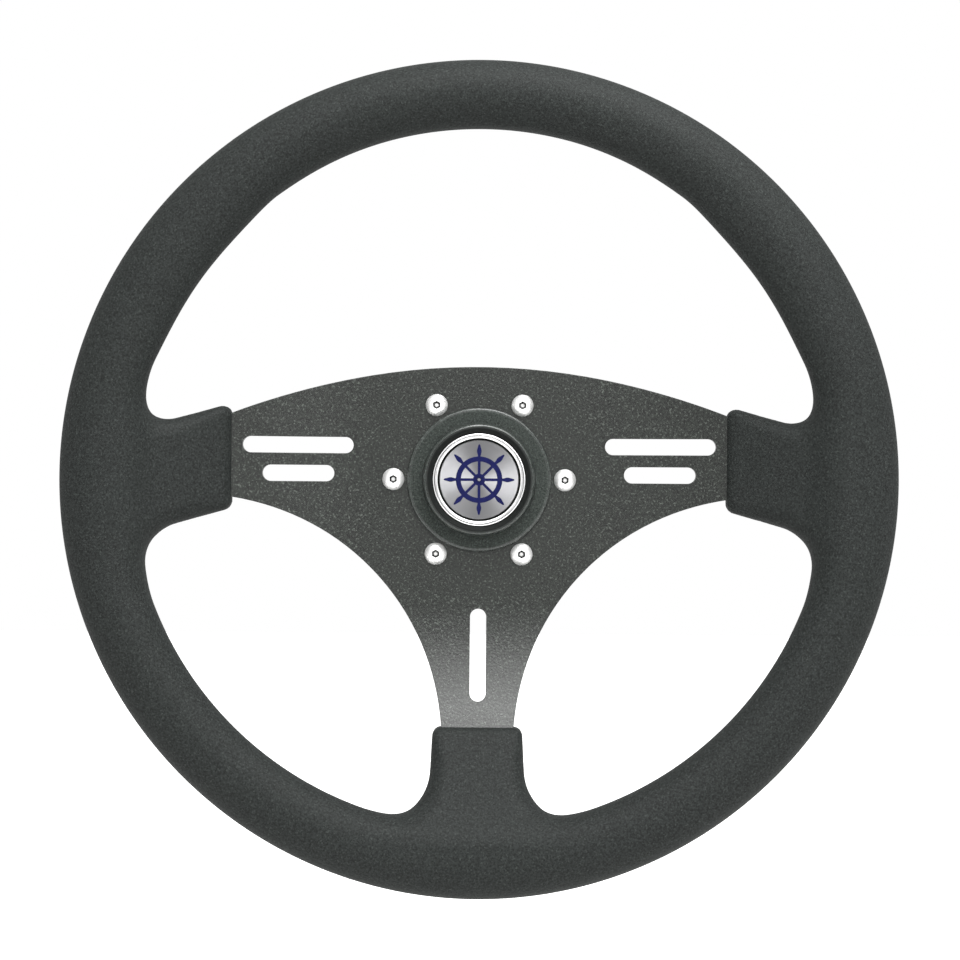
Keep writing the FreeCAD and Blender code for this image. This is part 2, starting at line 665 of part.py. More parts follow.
def rim_section(turn):
    thumb = worth("thumb_angle")
    width = worth("rim_width") - worth("crown_relief") * plateau(turn - 90, worth("crown_half_angle"))
    for place in (thumb, 180 - thumb):
        width += worth("thumb_swell") * plateau(turn - place, worth("thumb_half_angle"))
    outwards = Vector(math.cos(math.radians(turn)), 0, math.sin(math.radians(turn)))
    middle = outwards * (rim_radius - width / 2) + BACKWARDS * rim_plane
    oval = Part.Ellipse(middle + outwards * (width / 2),
                        middle + BACKWARDS * worth("rim_depth / 2"), middle)
    return Part.Wire(oval.toShape())


# The moulding's seam lies between the left and the lower spoke
RIM_SECTIONS = 36
SEAM_ANGLE = 235
turns = [(SEAM_ANGLE + 360 * number / RIM_SECTIONS) % 360 for number in range(RIM_SECTIONS)]
grip = Part.makeLoft([rim_section(turn) for turn in turns], True, False, True)


def lug_edge(reach, half, fall, flare, wall):
    """The lug's edge, measured from the spoke's line: straight, then an arc that turns nearly
    along the rim's inner side, then levelling off inside the rim."""
    tilt = math.radians(fall)
    steepest = math.radians(worth("flare_end_angle"))
    rise = worth("flare_rise")
    arc_middle = wall - flare
    if reach < arc_middle + flare * math.sin(tilt):
        return half + math.tan(tilt) * (reach - worth(LUG_START))
    height = half + math.tan(tilt) * (arc_middle - worth(LUG_START)) + flare / math.cos(tilt)
    on_arc = min(reach, arc_middle + flare * math.sin(steepest))
    drop = math.sqrt(flare ** 2 - (on_arc - arc_middle) ** 2)
    return height - drop + rise * (1 - math.exp((on_arc - reach) * math.tan(steepest) / rise))


def squared_oval(place, half, depth, square):
    """A closed outline of four Bezier quarters: an oval at 0.55, near a rectangle at 1."""
    quarters = []
    for side, front in ((1, 1), (-1, 1), (-1, -1), (1, -1)):
        poles = [(half, 0), (half, depth * square), (half * square, depth), (0, depth)]
        poles = [place(side * across, front * along) for across, along in poles]
        curve = Part.BezierCurve()
        curve.setPoles(poles if side * front > 0 else poles[::-1])
        quarters.append(curve.toShape())
    return Part.Wire(quarters)


def lug(side):
    """The sleeve over one spoke's end, from its rounded lip to inside the rim."""
    out, across, _ = SPOKES[side]
    start = worth(LUG_START)
    root = ring_radius - worth("lug_root_reach")
    lip = worth("lug_round")
    if side == "lower":
        flare = worth("low_flare")
        wall = worth(f"{RIM_INSIDE} - low_flare_back")
        edges = [(worth("low_lug_half"), worth("low_lug_angle"), flare, wall)] * 2
    else:
        flare = worth("side_flare")
        wall = worth(f"{RIM_INSIDE} - side_flare_back")
        edges = [(worth("side_lug_top"), -worth("side_lug_angle"), flare, wall),
                 (worth("side_lug_foot"), worth("side_lug_angle"), flare, wall)]
    lip_turns = [math.radians(turn) for turn in (15, 50, 90)]
    stations = [(start + lip * (1 - math.cos(turn)), lip * (1 - math.sin(turn))) for turn in lip_turns]
    fall = worth("side_lug_angle")
    flare_turns = [-fall, 0] + [fall + (worth("flare_end_angle") - fall) * step / 3 for step in range(4)]
    flared = [wall - flare + flare * math.sin(math.radians(turn)) for turn in flare_turns]
    reaches = [(start + lip + flared[0]) / 2] + flared
    reaches += [flared[-1] + worth("past_flare"), flared[-1] + worth("far_past_flare"), root]
    stations += [(reach, 0) for reach in reaches]
    wires = []
    for reach, inset in stations:
        share = (reach - start) / (root - start)
        thick = worth("lug_thick") + (worth("lug_root_thick") - worth("lug_thick")) * share
        depth = sheet_middle(start) + (rim_plane - sheet_middle(start)) * share
        square = worth("lug_square_ratio")
        square += (worth("lug_root_square_ratio") - square) * share
        top, foot = (lug_edge(reach, *edge) - inset for edge in edges)
        middle = out * reach + across * (top - foot) / 2 + BACKWARDS * depth
        wires.append(squared_oval(lambda aside, back: middle + across * aside + BACKWARDS * back,
                                  (top + foot) / 2, thick / 2 - inset, square))
    return Part.makeLoft(wires, True, False, False)


for side in SPOKES:
    grip = grip.fuse(lug(side))
for core in [spoke_plate, rim_ring, spoke_rivets] + tabs:
    grip = grip.cut(core.Shape)
rim_grip = add_shape("rim_grip", grip.Solids[0])
doc.recompute()

NODES = [rim_grip, rim_ring, spoke_plate, hub, hub_screws, spoke_rivets,
         centre_cap, cap_o_ring, emblem_bezel, emblem_disc] + tabs

for item in doc.Objects:
    if "Invalid" in item.State or "Error" in item.State:
        raise RuntimeError(f"{item.Label} failed: {item.getStatusString()}")
for node in NODES:
    if node.Shape.isNull() or not node.Shape.isValid():
        raise RuntimeError(f"{node.Label} has no valid shape")

os.makedirs("parts", exist_ok=True)
for node in NODES:
    node.Shape.exportStep(f"parts/{node.Label}.step")
    print(f"{node.Label:18} {len(node.Shape.Solids)} solids {node.Shape.Volume / 1000:8.2f} cm3")
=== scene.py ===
import math
from collections import namedtuple

import bmesh
import bpy
import numpy as np
from mathutils import Matrix, Vector


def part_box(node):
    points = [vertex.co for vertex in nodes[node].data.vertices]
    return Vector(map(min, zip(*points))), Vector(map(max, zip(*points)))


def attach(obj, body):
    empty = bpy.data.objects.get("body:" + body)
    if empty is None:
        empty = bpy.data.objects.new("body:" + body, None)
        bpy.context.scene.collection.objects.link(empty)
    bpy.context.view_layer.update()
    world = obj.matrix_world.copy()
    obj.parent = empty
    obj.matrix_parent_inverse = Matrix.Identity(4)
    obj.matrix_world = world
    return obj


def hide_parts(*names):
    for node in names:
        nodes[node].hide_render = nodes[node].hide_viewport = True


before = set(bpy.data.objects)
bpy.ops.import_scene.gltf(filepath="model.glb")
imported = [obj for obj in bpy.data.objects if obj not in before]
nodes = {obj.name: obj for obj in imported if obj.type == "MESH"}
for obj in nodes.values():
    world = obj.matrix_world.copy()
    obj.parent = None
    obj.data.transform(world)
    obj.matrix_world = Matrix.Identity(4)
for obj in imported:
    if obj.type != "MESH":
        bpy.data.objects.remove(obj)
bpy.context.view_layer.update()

# Hub: one aluminium die casting with a keyed taper for the steering shaft and six tapped holes.
# It is sprayed satin black after machining, so its cast skin shows as a very slight orange peel.


def linear(hex_colour):
    """An sRGB hex colour as linear red, green, blue and alpha."""
    shares = [int(hex_colour[place:place + 2], 16) / 255 for place in (1, 3, 5)]
    return [share / 12.92 if share <= 0.04045 else ((share + 0.055) / 1.055) ** 2.4
            for share in shares] + [1.0]


def new_material(name):
    """A material with no nodes in it yet."""
    material = bpy.data.materials.new(name)
    material.use_nodes = True
    material.node_tree.nodes.clear()
    return material


def add_node(owner, kind, inputs, **settings):
    """Adds a node to a material or world. Each input is set, or linked where it is an output or
    a whole node, of which the first output in use counts."""
    tree = owner.node_tree
    node = tree.nodes.new(kind)
    for name, value in settings.items():
        setattr(node, name, value)
    sockets = {socket.identifier: socket for socket in node.inputs}
    for name, value in inputs.items():
        if isinstance(value, bpy.types.Node):
            value = next(socket for socket in value.outputs if socket.enabled)
        if isinstance(value, bpy.types.NodeSocket):
            tree.links.new(value, sockets[name])
        else:
            sockets[name].default_value = value
    return node


def finish(material, inputs):
    """Ends a material with its surface."""
    surface = add_node(material, "ShaderNodeBsdfPrincipled", inputs)
    add_node(material, "ShaderNodeOutputMaterial", {"Surface": surface})
    return material


def dress(piece, material):
    """Gives a piece one material."""
    piece.data.materials.clear()
    piece.data.materials.append(material)


CAST_PEEL = 0.0016
CAST_PEEL_DEEP = 0.00002
CAST_EDGE = 0.0004
# A cloudy pattern's values seldom pass these two.
CLOUD_LOW = 0.3
CLOUD_HIGH = 0.7


def black_stove_enamel():
    """Satin black enamel on a casting: a faint orange peel that softens its highlights."""
    material = new_material("black_stove_enamel")
    place = add_node(material, "ShaderNodeTexCoord", {}).outputs["Object"]
    peel = add_node(material, "ShaderNodeTexNoise", {
        "Vector": place, "Scale": 1 / CAST_PEEL, "Detail": 3.0})
    colour = add_node(material, "ShaderNodeMix", {
        "Factor_Float": peel, "A_Color": linear("#1c1d1f"), "B_Color": linear("#242527")},
        data_type="RGBA")
    dullness = add_node(material, "ShaderNodeMapRange", {
        "Value": peel, "From Min": CLOUD_LOW, "From Max": CLOUD_HIGH,
        "To Min": 0.38, "To Max": 0.52})
    eased = add_node(material, "ShaderNodeBevel", {"Radius": CAST_EDGE}, samples=4)
    skin = add_node(material, "ShaderNodeBump", {
        "Height": peel, "Distance": CAST_PEEL_DEEP, "Normal": eased})
    return finish(material, {"Base Color": colour, "Roughness": dullness, "Normal": skin})


dress(nodes["hub"], black_stove_enamel())

# Spoke plate: 4 mm aluminium sheet, blanked, slotted and pressed into a dish, then powder
# coated dark grey. The coat has a fine sand texture that glitters slightly from grain to grain,
# and its grains are drawn about twice as coarse as real ones, so that they show.
SAND_GRAIN = 0.0010
SAND_DEEP = 0.00011
SHEET_EDGE = 0.0005
FLECK_GRAIN = 0.85


def grained(material, place, grain, dark, pale, fleck):
    """A colour that changes from grain to grain, with a few much paler grains."""
    grains = add_node(material, "ShaderNodeTexNoise", {
        "Vector": place, "Scale": 1 / grain, "Detail": 3.0, "Roughness": 0.7})
    most = add_node(material, "ShaderNodeMapRange", {
        "Value": grains, "From Min": 0.38, "From Max": 0.62})
    colour = add_node(material, "ShaderNodeMix", {
        "Factor_Float": most, "A_Color": dark, "B_Color": pale}, data_type="RGBA")
    flecks = add_node(material, "ShaderNodeTexNoise", {
        "Vector": place, "Scale": 1 / (FLECK_GRAIN * grain), "Detail": 1.0})
    few = add_node(material, "ShaderNodeMapRange", {
        "Value": flecks, "From Min": 0.57, "From Max": 0.80})
    return add_node(material, "ShaderNodeMix", {
        "Factor_Float": few, "A_Color": colour, "B_Color": fleck}, data_type="RGBA")


def sand_powder_coat():
    """Polyester powder coat with a sand texture: satin, matt grains with a few paler ones."""
    material = new_material("sand_powder_coat")
    place = add_node(material, "ShaderNodeTexCoord", {}).outputs["Object"]
    sand = add_node(material, "ShaderNodeTexNoise", {"Vector": place, "Scale": 1 / SAND_GRAIN})
    eased = add_node(material, "ShaderNodeBevel", {"Radius": SHEET_EDGE}, samples=4)
    return finish(material, {
        "Base Color": grained(material, place, SAND_GRAIN, linear("#050605"),
                              linear("#1f231f"), linear("#4c514c")),
        "Roughness": 0.37, "Specular IOR Level": 0.48,
        "Normal": add_node(material, "ShaderNodeBump", {
            "Height": sand, "Distance": SAND_DEEP, "Normal": eased})})


dress(nodes["spoke_plate"], sand_powder_coat())

# Hub screws: six stainless button heads with hexagon sockets, cold headed and tumbled bright.
# The steel's colour is painted darker where another surface lies close: painted shade, mostly
# down in the sockets.
TUMBLE_MARK = 0.0004
TUMBLE_DEEP = 0.000004
SCREW_EDGE = 0.00015
SHADE_REACH = 0.0010
SHADE_FULL = 0.85
SHADE_GONE = 0.97


def bright_stainless():
    """Cold-headed stainless steel: bright and unevenly polished, with painted shade down in its
    socket. It is a little less than metallic, so that the heads shine white from every side."""
    material = new_material("bright_stainless")
    place = add_node(material, "ShaderNodeTexCoord", {}).outputs["Object"]
    polish = add_node(material, "ShaderNodeTexNoise", {"Vector": place, "Scale": 1 / TUMBLE_MARK})
    dullness = add_node(material, "ShaderNodeMapRange", {
        "Value": polish, "From Min": CLOUD_LOW, "From Max": CLOUD_HIGH,
        "To Min": 0.28, "To Max": 0.42})
    # Painted shade: the colour turns dark where the occlusion finds another surface close by.
    crevice_occlusion = add_node(material, "ShaderNodeAmbientOcclusion", {"Distance": SHADE_REACH}, samples=8)
    painted_shade_share = add_node(material, "ShaderNodeMapRange", {
        "Value": crevice_occlusion.outputs["AO"], "From Min": SHADE_FULL, "From Max": SHADE_GONE})
    colour = add_node(material, "ShaderNodeMix", {
        "Factor_Float": painted_shade_share, "A_Color": linear("#0c0c0c"), "B_Color": linear("#f6f6f5")},
        data_type="RGBA")
    eased = add_node(material, "ShaderNodeBevel", {"Radius": SCREW_EDGE}, samples=4)
    skin = add_node(material, "ShaderNodeBump", {
        "Height": polish, "Distance": TUMBLE_DEEP, "Normal": eased})
    return finish(material, {
        "Base Color": colour, "Metallic": 0.75, "Roughness": dullness, "Normal": skin})


dress(nodes["hub_screws"], bright_stainless())

# Rim ring and spoke tabs: drawn mild steel, rolled to a circle and welded. They are buried in
# the moulding, and show nowhere.
MILL_SCALE = 0.004


def drawn_mild_steel():
    """Drawn mild steel as it comes from the mill: grey, unevenly dull."""
    material = new_material("drawn_mild_steel")
    place = add_node(material, "ShaderNodeTexCoord", {}).outputs["Object"]
    scale = add_node(material, "ShaderNodeTexNoise", {
        "Vector": place, "Scale": 1 / MILL_SCALE, "Detail": 5.0})
    colour = add_node(material, "ShaderNodeMix", {
        "Factor_Float": scale, "A_Color": linear("#7d7b78"), "B_Color": linear("#a3a3a2")},
        data_type="RGBA")
    dullness = add_node(material, "ShaderNodeMapRange", {
        "Value": scale, "From Min": CLOUD_LOW, "From Max": CLOUD_HIGH,
        "To Min": 0.3, "To Max": 0.55})
    return finish(material, {"Base Color": colour, "Metallic": 1.0, "Roughness": dullness})


mild_steel = drawn_mild_steel()
for name in ("rim_ring", "spoke_tab_left", "spoke_tab_right", "spoke_tab_lower"):
    dress(nodes[name], mild_steel)

# Spoke rivets: solid aluminium rivets, hammered over behind the tabs before the rim is moulded
# over them.
HAMMER_MARK = 0.0012
HAMMER_DEEP = 0.00003


def riveting_alloy():
    """Soft aluminium wire, dented by the riveting hammer."""
    material = new_material("riveting_alloy")
    place = add_node(material, "ShaderNodeTexCoord", {}).outputs["Object"]
    dents = add_node(material, "ShaderNodeTexNoise", {"Vector": place, "Scale": 1 / HAMMER_MARK})
    colour = add_node(material, "ShaderNodeMix", {
        "Factor_Float": dents, "A_Color": linear("#c4c5c6"), "B_Color": linear("#d9dadb")},
        data_type="RGBA")
    skin = add_node(material, "ShaderNodeBump", {"Height": dents, "Distance": HAMMER_DEEP})
    return finish(material, {
        "Base Color": colour, "Metallic": 1.0, "Roughness": 0.38, "Normal": skin})


dress(nodes["spoke_rivets"], riveting_alloy())

# Rim grip: self-skinning polyurethane, moulded in one shot over the ring and the spoke ends.
# The mould gives it a fine grain, and its lugs run into the rim with no edge between them, so
# the piece is one surface, drawn where the distance from the moulding's shape is nil.
ring_low, ring_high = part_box("rim_ring")
grip_low, grip_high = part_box("rim_grip")
rod = ring_high.y - ring_low.y
rim_plane = (ring_low.y + ring_high.y) / 2
ring_radius = ring_high.x - rod / 2
rim_radius = grip_high.x
rim_width = 2 * (rim_radius - ring_radius)
rim_depth = 2 * (rim_plane - grip_low.y)
rim_inside = rim_radius - rim_width
# The rim is narrower at its crown and wider at its thumb rests. Spreads and angles are degrees
# round the wheel.
CROWN_RELIEF = 0.0010
CROWN_SPREAD = 36.0
THUMB_SWELL = 0.0023
THUMB_ANGLE = 34.5
THUMB_SPREAD = 20.0

# The lugs follow the spokes' slope, and thicken from lip to root. The middle of the sheet lies
# this far ahead of the middle of the tabs, whose line meets the ring.
SPOKE_SLOPE = math.radians(25)
SHEET_TO_TAB = 0.0035
LUG_LENGTH = 0.040
LUG_THICK = 0.0125
LUG_ROOT_THICK = 0.0208
LUG_ROOT_REACH = 0.0080
LUG_END = 0.0050
LIP_ROUND = 0.0028
EDGE_ROUND = 0.0070
ROOT_ROUND = 0.0085
JOIN_SPREAD = 0.0070
lug_start = rim_inside - LUG_LENGTH
lug_root = ring_radius - LUG_ROOT_REACH
sheet_at_ring = rim_plane - SHEET_TO_TAB / math.cos(SPOKE_SLOPE)
lip_middle = sheet_at_ring + (ring_radius - lug_start) * math.tan(SPOKE_SLOPE)

# Each edge of a lug has its distance from the spoke's line at the lip, its slant in degrees and
# its corner's radius. Each lug has its way out and across, its two edges, the radius of its
# flares, and how far inside the rim's own circle it makes the rim's inner side run straight.
Edge = namedtuple("Edge", "half slant corner")
Lug = namedtuple("Lug", "out across top foot flare straight")
SIDE_TOP = Edge(half=0.0318, slant=16.4, corner=0.0050)
SIDE_FOOT = Edge(half=0.0128, slant=-16.4, corner=0.0030)
LOW_EDGE = Edge(half=0.0190, slant=-3.0, corner=0.0035)
LUGS = [Lug((way, 0, 0), (0, 0, 1), SIDE_TOP, SIDE_FOOT, flare=0.0135, straight=0.0040)
        for way in (-1, 1)]
LUGS.append(Lug((0, 0, -1), (1, 0, 0), LOW_EDGE, LOW_EDGE, flare=0.0195, straight=0.0023))
# The straight stretch meets the circle in a short blend, and counts only where the way out from
# the wheel's middle turns from the lug's by an angle with at least this cosine.
STRAIGHT_BLEND = 0.0015
LEAST_FACING = 0.7


def plateau(offset, spread):
    """A flat-topped swell, 1 in its middle and 0 at its spread."""
    share = np.minimum(np.abs(offset) / spread, 1)
    return (1 - share ** 4) ** 2


# In what follows a region is an array of each point's distance outside it, negative inside.
def rounded_overlap(first, second, radius):
    """Where two regions overlap, with the corner between their edges rounded."""
    corner = np.hypot(np.maximum(first + radius, 0), np.maximum(second + radius, 0))
    return np.minimum(np.maximum(first, second) + radius, 0) + corner - radius


def filleted_join(first, second, radius):
    """Two regions joined, with a round fillet in the corner between them."""
    corner = np.hypot(np.maximum(radius - first, 0), np.maximum(radius - second, 0))
    return np.maximum(radius, np.minimum(first, second)) - corner


def soft_join(first, second, spread):
    """Two regions joined, with a soft blend where they are about as near."""
    near = np.maximum(spread - np.abs(first - second), 0)
    return np.minimum(first, second) - near ** 2 / 4 / spread


def rim_region(points):
    """The rim: an oval swept round the wheel, wider at the thumb rests, narrower at the crown,
    and straight along its inner side at each lug."""
    turn = np.degrees(np.arctan2(points[:, 2], points[:, 0]))
    off_axis = np.hypot(points[:, 0], points[:, 2])
    width = rim_width - CROWN_RELIEF * plateau(turn - 90, CROWN_SPREAD)
    for place in (THUMB_ANGLE, 180 - THUMB_ANGLE):
        width = width + THUMB_SWELL * plateau(turn - place, THUMB_SPREAD)
    inside = rim_radius - width
    for lug in LUGS:
        facing = np.maximum(points @ np.array(lug.out) / off_axis, LEAST_FACING)
        inside = soft_join(inside, (rim_inside - lug.straight) / facing, STRAIGHT_BLEND)
    half_width = (rim_radius - inside) / 2
    half_depth = rim_depth / 2
    aside = (off_axis - rim_radius + half_width) / half_width
    back = (points[:, 1] - rim_plane) / half_depth
    level = np.hypot(aside, back)
    return level * (level - 1) / np.hypot(aside / half_width, back / half_depth)


def edge_region(along, aside, edge):
    """The near side of one slanting edge of a lug."""
    slant = math.radians(edge.slant)
    return (aside - edge.half) * math.cos(slant) + along * math.sin(slant)


def lug_region(points, lug):
    """A lug: a sloping slab with a rounded edge. Its outline, seen from in front, has a lip, two
    slanting edges, and flares that turn along the rim."""
    reach = points @ np.array(lug.out)
    aside = points @ np.array(lug.across)
    off_axis = np.hypot(points[:, 0], points[:, 2])
    along = reach - lug_start
    share = np.clip(along / (lug_root - lug_start), 0, 1)
    outline = rounded_overlap(edge_region(along, aside, lug.top), -along, lug.top.corner)
    outline = rounded_overlap(outline, edge_region(along, -aside, lug.foot), lug.foot.corner)
    outline = filleted_join(outline, rim_inside - lug.straight - reach, lug.flare)
    outline = rounded_overlap(outline, off_axis - ring_radius + LUG_END, LUG_END)
    middle = lip_middle + (rim_plane - lip_middle) * share
    half = (LUG_THICK + (LUG_ROOT_THICK - LUG_THICK) * share) / 2
    faces = (np.abs(points[:, 1] - middle) - half) * math.cos(SPOKE_SLOPE)
    past_lip = np.clip(along / EDGE_ROUND / 2, 0, 1)
    edge = LIP_ROUND + (EDGE_ROUND - LIP_ROUND) * past_lip + (ROOT_ROUND - EDGE_ROUND) * share
    return rounded_overlap(outline, faces, edge)


def grip_region(points):
    """The whole moulding: the rim and its three lugs in one."""
    whole = rim_region(points)
    for lug in LUGS:
        whole = soft_join(whole, lug_region(points, lug), JOIN_SPREAD)
    return whole


# The surface comes from a grid of cells. Its points are then moved onto the true shape in a few
# rounds, along the slope that a small nudge finds.
CELL = 0.00118
MARGIN = 3 * CELL
SETTLING = 3
NUDGE = 0.00002
LEAST_STEEPNESS = 0.05


def settle(points, region):
    """Moves points square onto a region's surface."""
    for _ in range(SETTLING):
        steps = np.eye(3) * NUDGE
        slopes = np.stack([region(points + step) - region(points - step) for step in steps], axis=1)
        slopes /= 2 * NUDGE
        steepness = np.maximum((slopes ** 2).sum(axis=1), LEAST_STEEPNESS)
        points = points - slopes * (region(points) / steepness)[:, None]
    return points


def surface_of(region, low, high, cell):
    """The points and four-sided faces of a region's surface: a point in each cell of a grid that
    the surface passes through, and a face round each of the grid's edges that it crosses."""
    axes = [np.arange(low[axis], high[axis] + cell, cell) for axis in range(3)]
    spots = np.stack(np.meshgrid(axes[0], axes[2], indexing="ij"), axis=-1).reshape(-1, 2)
    layers = [region(np.insert(spots, 1, level, axis=1)) for level in axes[1]]
    inside = np.stack(layers, axis=1).reshape(len(axes[0]), len(axes[2]), len(axes[1])) < 0
    inside = inside.transpose(0, 2, 1)
    ends = (slice(None, -1), slice(1, None))
    corners = sum(inside[x, y, z].astype(int) for x in ends for y in ends for z in ends)
    crossed = np.argwhere((corners > 0) & (corners < 8))
    number = np.full(corners.shape, -1)
    number[tuple(crossed.T)] = np.arange(len(crossed))
    points = settle(np.array(low) + (crossed + 0.5) * cell, region)
    faces = []
    for axis in range(3):
        before = np.take(inside, range(inside.shape[axis] - 1), axis)
        after = np.take(inside, range(1, inside.shape[axis]), axis)
        second, third = (axis + 1) % 3, (axis + 2) % 3
        for leaving in (True, False):
            edges = np.argwhere((before & ~after) if leaving else (~before & after))
            ring = []
            for back_second, back_third in ((1, 1), (0, 1), (0, 0), (1, 0)):
                place = edges.copy()
                place[:, second] -= back_second
                place[:, third] -= back_third
                ring.append(number[tuple(place.T)])
            faces.append(np.stack(ring if leaving else ring[::-1], axis=1))
    return points, np.concatenate(faces)


def add_object(name, data):
    """A new object in the scene, at the origin."""
    thing = bpy.data.objects.new(name, data)
    bpy.context.scene.collection.objects.link(thing)
    return thing


grip_reach = rim_radius + MARGIN
grip_points, grip_faces = surface_of(
    grip_region, (-grip_reach, rim_plane - rim_depth / 2 - MARGIN, -grip_reach),
    (grip_reach, lip_middle + LUG_THICK, grip_reach), CELL)
grip_mesh = bpy.data.meshes.new("moulded_grip")
grip_mesh.from_pydata(grip_points.tolist(), [], grip_faces.tolist())
grip_mesh.shade_smooth()
grip = add_object("moulded_grip", grip_mesh)

SKIN_GRAIN = 0.0009
SKIN_GRAIN_DEEP = 0.00009


def self_skinned_polyurethane():
    """Self-skinned polyurethane: a tough matt skin with the mould's leather-like grain."""
    material = new_material("self_skinned_polyurethane")
    place = add_node(material, "ShaderNodeTexCoord", {}).outputs["Object"]
    grain = add_node(material, "ShaderNodeTexNoise", {
        "Vector": place, "Scale": 1 / SKIN_GRAIN, "Detail": 3.0})
    return finish(material, {
        "Base Color": grained(material, place, SKIN_GRAIN, linear("#121413"),
                              linear("#232625"), linear("#323634")),
        "Roughness": 0.66, "Specular IOR Level": 0.15,
        "Normal": add_node(material, "ShaderNodeBump", {
            "Height": grain, "Distance": SKIN_GRAIN_DEEP})})


dress(grip, self_skinned_polyurethane())
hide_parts("rim_grip")
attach(grip, "wheel")

# Centre cap: one black ABS moulding that pushes into the hub's well over the shaft's nut. Its
# tool is polished only where the flange and the crest turn over, so those edges catch the light.
# Inside the crest, toward the bezel, its colour is painted darker: painted shade in the recess.
CAP_SPARK = 0.0007
CAP_SPARK_DEEP = 0.00003
FLANGE_TURN = 0.0305
CREST_TURN = 0.0232
RECESS_SHADE_FULL = 0.0222
POLISHED_HALF = 0.0006
POLISHED_END = 0.0011


def distance_from_axis(material, place):
    """How far each point of a piece lies from the steering shaft's axis."""
    flat = add_node(material, "ShaderNodeVectorMath", {
        "Vector": place, "Vector_001": (1.0, 0.0, 1.0)}, operation="MULTIPLY")
    return add_node(material, "ShaderNodeVectorMath", {"Vector": flat}, operation="LENGTH")


def moulded_abs():
    """Black ABS from a sparked mould: matt with a very fine texture, polished edges, and painted
    shade inside the crest.
    """
    material = new_material("moulded_abs")
    place = add_node(material, "ShaderNodeTexCoord", {}).outputs["Object"]
    off_axis = distance_from_axis(material, place)
    polished = 0.0
    for turn in (FLANGE_TURN, CREST_TURN):
        past = add_node(material, "ShaderNodeMath", {
            "Value": off_axis, "Value_001": turn}, operation="SUBTRACT")
        aside = add_node(material, "ShaderNodeMath", {"Value": past}, operation="ABSOLUTE")
        band = add_node(material, "ShaderNodeMapRange", {
            "Value": aside, "From Min": POLISHED_HALF, "From Max": POLISHED_END,
            "To Min": 1.0, "To Max": 0.0})
        polished = add_node(material, "ShaderNodeMath", {
            "Value": polished, "Value_001": band}, operation="MAXIMUM")
    sparked = grained(material, place, CAP_SPARK, linear("#212422"), linear("#363b38"),
                      linear("#4b504d"))
    # Painted shade: the colour turns dark inside the crest, toward the bezel's recess.
    outside = add_node(material, "ShaderNodeMapRange", {
        "Value": off_axis, "From Min": RECESS_SHADE_FULL, "From Max": CREST_TURN})
    colour = add_node(material, "ShaderNodeMix", {
        "Factor_Float": outside, "A_Color": linear("#141615"), "B_Color": sparked},
        data_type="RGBA")
    dullness = add_node(material, "ShaderNodeMapRange", {
        "Value": polished, "To Min": 0.62, "To Max": 0.22})
    shine = add_node(material, "ShaderNodeMapRange", {
        "Value": polished, "To Min": 0.08, "To Max": 0.5})
    spark = add_node(material, "ShaderNodeTexNoise", {
        "Vector": place, "Scale": 1 / CAP_SPARK, "Detail": 3.0})
    skin = add_node(material, "ShaderNodeBump", {"Height": spark, "Distance": CAP_SPARK_DEEP})
    return finish(material, {
        "Base Color": colour, "Roughness": dullness, "Specular IOR Level": shine,
        "Normal": skin})


dress(nodes["centre_cap"], moulded_abs())

# Cap seal: a nitrile rubber ring in the cap's groove, smooth and slightly greasy. It shows only
# with the cap pulled out.
RUBBER_BLOOM = 0.0015


def nitrile_rubber():
    """Black nitrile rubber: smooth, with a faint grey bloom."""
    material = new_material("nitrile_rubber")
    place = add_node(material, "ShaderNodeTexCoord", {}).outputs["Object"]
    bloom = add_node(material, "ShaderNodeTexNoise", {
        "Vector": place, "Scale": 1 / RUBBER_BLOOM, "Detail": 3.0})
    colour = add_node(material, "ShaderNodeMix", {
        "Factor_Float": bloom, "A_Color": linear("#141414"), "B_Color": linear("#262626")},
        data_type="RGBA")
    dullness = add_node(material, "ShaderNodeMapRange", {
        "Value": bloom, "From Min": CLOUD_LOW, "From Max": CLOUD_HIGH,
        "To Min": 0.38, "To Max": 0.5})
    return finish(material, {"Base Color": colour, "Roughness": dullness})


dress(nodes["cap_o_ring"], nitrile_rubber())

# Emblem bezel: a rolled ring, plated bright chrome, that frames the emblem in the cap. The
# polishing wheel leaves the plate a little brighter in some patches than in others.
PLATE_PATCH = 0.006


def bright_chrome():
    """Bright chrome plate: white and shining all round, a little duller here and there."""
    material = new_material("bright_chrome")
    place = add_node(material, "ShaderNodeTexCoord", {}).outputs["Object"]
    patches = add_node(material, "ShaderNodeTexNoise", {"Vector": place, "Scale": 1 / PLATE_PATCH})
    dullness = add_node(material, "ShaderNodeMapRange", {
        "Value": patches, "From Min": CLOUD_LOW, "From Max": CLOUD_HIGH,
        "To Min": 0.28, "To Max": 0.36})
    return finish(material, {
        "Base Color": linear("#fbfbfb"), "Metallic": 1.0, "Roughness": dullness})


dress(nodes["emblem_bezel"], bright_chrome())

# Emblem disc: thin aluminium, spun on a lathe with a fine tool, so its sheen fans out in bright
# and dark wedges. The tool's rings are drawn coarser than real ones, so that they show.
SPIN_PITCH = 0.00035
SPIN_DEEP = 0.000004


def spun_aluminium():
    """Lathe-spun aluminium: fine rings that stretch each highlight out from the centre."""
    material = new_material("spun_aluminium")
    place = add_node(material, "ShaderNodeTexCoord", {}).outputs["Object"]
    turns = add_node(material, "ShaderNodeMath", {
        "Value": distance_from_axis(material, place), "Value_001": SPIN_PITCH},
        operation="DIVIDE")
    rings = add_node(material, "ShaderNodeTexNoise", {
        "W": turns, "Scale": 1.0, "Detail": 3.0}, noise_dimensions="1D")
    skin = add_node(material, "ShaderNodeBump", {"Height": rings, "Distance": SPIN_DEEP})
    around = add_node(material, "ShaderNodeTangent", {}, direction_type="RADIAL", axis="Y")
    return finish(material, {
        "Base Color": linear("#9a9a9c"), "Metallic": 1.0, "Roughness": 0.34,
        "Anisotropic": 0.9, "Tangent": around, "Normal": skin})


dress(nodes["emblem_disc"], spun_aluminium())

